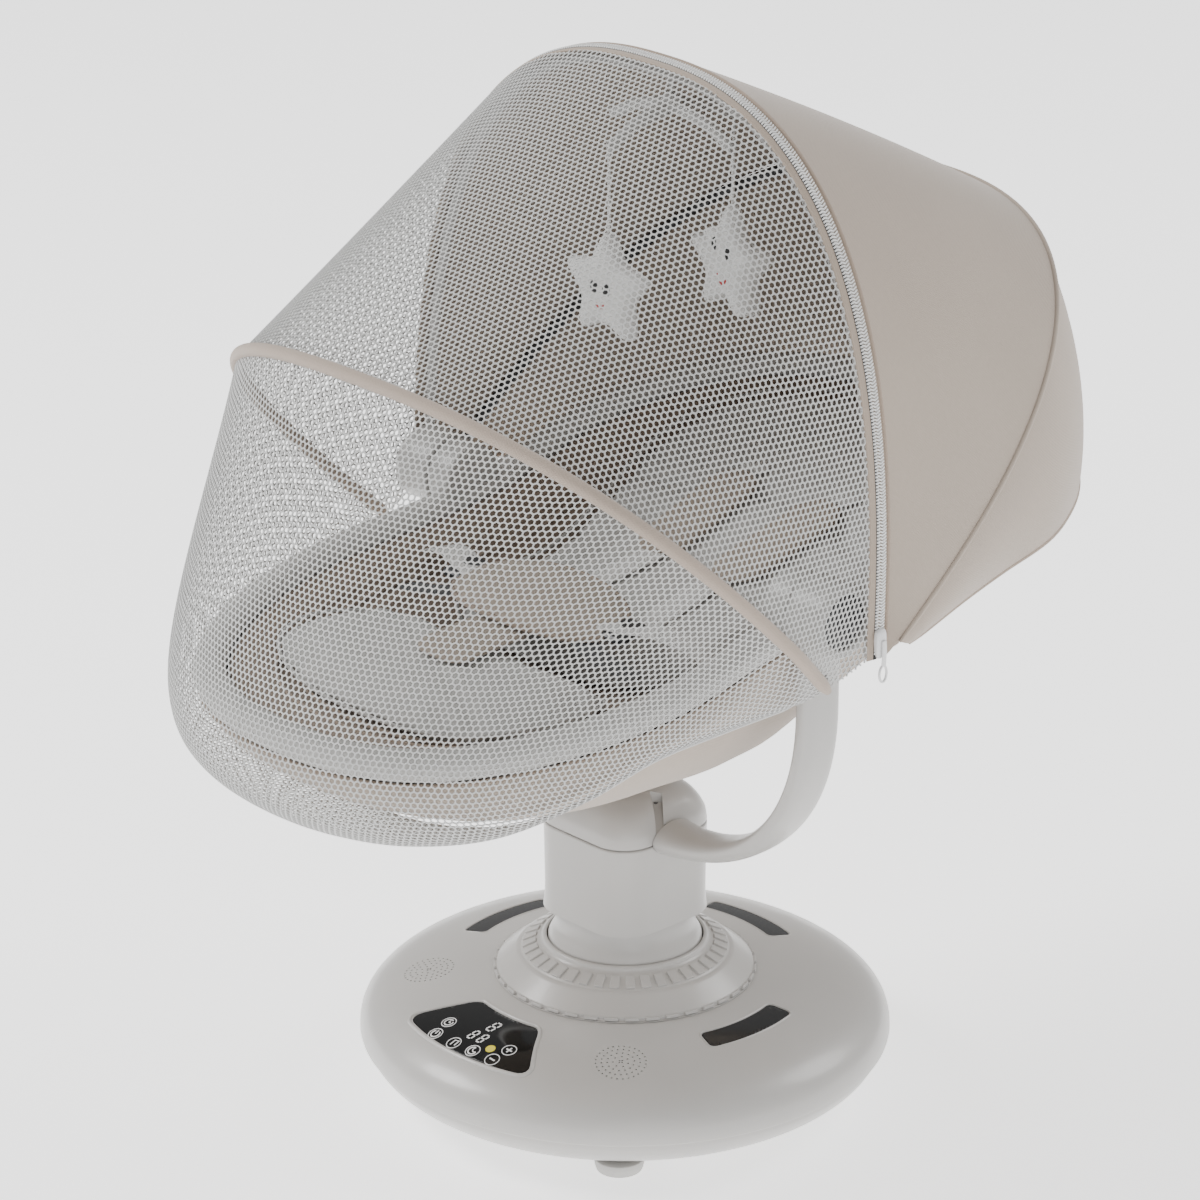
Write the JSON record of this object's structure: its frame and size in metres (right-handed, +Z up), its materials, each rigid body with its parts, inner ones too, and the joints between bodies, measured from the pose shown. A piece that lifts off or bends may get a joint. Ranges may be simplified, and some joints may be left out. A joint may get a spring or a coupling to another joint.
{
  "type": "baby swing",
  "caption": "Electric baby swing: round base, turning column with a forked arm, reclining bassinet seat, folding hood with a zipped net on a hoop, and a toy mobile.",
  "frame": {"origin": "on the floor under the middle of the round base", "axes": "+Z up; -Y towards the foot end of the seat and the control panel; +X to the side that carries the zip slider"},
  "size_m": [0.5004, 0.7277, 0.7937],
  "materials": {
    "white_plastic": "warm white moulded plastic, soft gloss",
    "rubber": "light grey foot rubber",
    "smoked_lens": "smoked translucent plastic",
    "black_glass": "high gloss touch panel",
    "circuit_board": "green solder mask",
    "dark_plastic": "dark grey satin",
    "gear_plastic": "acetal gear plastic",
    "steel": "ground steel",
    "beige_fabric": "fine plain weave",
    "trim_fabric": "folded piping",
    "cushion_fabric": "soft knitted jersey",
    "webbing": "woven webbing",
    "netting": "hexagonal mosquito net",
    "toy_fabric": "short plush",
    "zip_metal": "enamelled white"
  },
  "bodies": {
    "base": {"base_bottom_shell": "white_plastic", "base_top_shell": "white_plastic", "foot_front_right": "rubber", "foot_rear_right": "rubber", "foot_rear_left": "rubber", "foot_front_left": "rubber", "collar_cover": "white_plastic", "window_right": "smoked_lens", "window_rear": "smoked_lens", "window_left": "smoked_lens", "touch_panel": "black_glass", "control_board": "circuit_board", "speaker_grille_right": "white_plastic", "speaker_grille_left": "white_plastic", "speaker_right": "dark_plastic", "speaker_left": "dark_plastic", "bearing_plate": "dark_plastic", "upper_bearing": "steel", "lower_bearing": "steel", "drive_motor": "steel", "dc_inlet": "dark_plastic"},
    "pinion": {"motor_pinion": "gear_plastic"},
    "yoke": {"swing_shaft": "steel", "sector_gear": "gear_plastic", "neck": "white_plastic", "column_housing": "white_plastic", "column_cap": "white_plastic", "arm_right": "white_plastic", "arm_left": "white_plastic", "hub_housing_right": "white_plastic", "hub_housing_left": "white_plastic"},
    "button_right": {"recline_button_right": "dark_plastic"},
    "button_left": {"recline_button_left": "dark_plastic"},
    "seat": {"pivot_pin_right": "steel", "pivot_pin_left": "steel", "seat_rim": "white_plastic", "seat_shell": "beige_fabric", "seat_liner": "beige_fabric", "infant_insert": "cushion_fabric", "foot_cushion": "cushion_fabric", "belly_pad": "beige_fabric", "crotch_strap": "beige_fabric", "shoulder_pad_right": "beige_fabric", "shoulder_pad_left": "beige_fabric", "waist_strap_right": "webbing", "waist_strap_left": "webbing", "hood_back": "beige_fabric"},
    "rear_bow": {"rear_bow": "dark_plastic"},
    "hood_bow": {"hood_bow": "white_plastic", "hood_roof": "beige_fabric", "zip_tape": "trim_fabric"},
    "zip_slider": {"zip_slider": "zip_metal"},
    "net_hoop": {"net_hoop": "trim_fabric", "net_roof": "netting", "net_front": "netting"},
    "mobile": {"mobile_rotor": "white_plastic", "toy_star_front": "toy_fabric", "toy_star_right": "toy_fabric", "toy_star_rear": "toy_fabric"}
  },
  "joints": [
    {"name": "swing", "type": "hinge", "parent": "base", "child": "yoke", "pos_m": [0, 0, 0.1], "axis": [0, 0, 1], "range_deg": [-15, 15]},
    {"name": "pinion_spin", "type": "hinge", "parent": "base", "child": "pinion", "pos_m": [0, 0.0603, 0.05], "axis": [0, 0, 1], "range_deg": [-61, 61]},
    {"name": "seat_recline", "type": "hinge", "parent": "yoke", "child": "seat", "pos_m": [0, 0, 0.435], "axis": [1, 0, 0], "range_deg": [-7, 12]},
    {"name": "recline_button_right_press", "type": "slide", "parent": "yoke", "child": "button_right", "axis": [-1, 0, 0], "range_m": [0, 0.004], "stiffness_N_per_m": 500, "springref_m": -0.002},
    {"name": "recline_button_left_press", "type": "slide", "parent": "yoke", "child": "button_left", "axis": [1, 0, 0], "range_m": [0, 0.004], "stiffness_N_per_m": 500, "springref_m": -0.002},
    {"name": "rear_bow_fold", "type": "hinge", "parent": "seat", "child": "rear_bow", "pos_m": [0, 0.024, 0.41], "axis": [-1, 0, 0], "range_deg": [0, 20.1], "deforming": ["hood_back"]},
    {"name": "hood_fold", "type": "hinge", "parent": "rear_bow", "child": "hood_bow", "pos_m": [0, 0.024, 0.41], "axis": [-1, 0, 0], "range_deg": [0, 32], "deforming": ["hood_roof"]},
    {"name": "net_fold", "type": "hinge", "parent": "hood_bow", "child": "net_hoop", "pos_m": [0, -0.0275, 0.394], "axis": [-1, 0, 0], "range_deg": [0, 40.1], "deforming": ["net_roof", "net_front"]},
    {"name": "zip_slide", "type": "slide", "parent": "hood_bow", "child": "zip_slider", "axis": [0, 0, 1], "range_m": [0, 0.05]},
    {"name": "mobile_spin", "type": "hinge", "parent": "hood_bow", "child": "mobile", "pos_m": [0, 0.045, 0.756], "axis": [0, 0, 1], "continuous": true}
  ],
  "couplings": [
    {"joint": "pinion_spin", "follows": "swing", "ratio": -4},
    {"joint": "rear_bow_fold", "follows": "hood_fold", "ratio": 0.625},
    {"joint": "net_fold", "follows": "hood_fold", "ratio": 1.25}
  ]
}
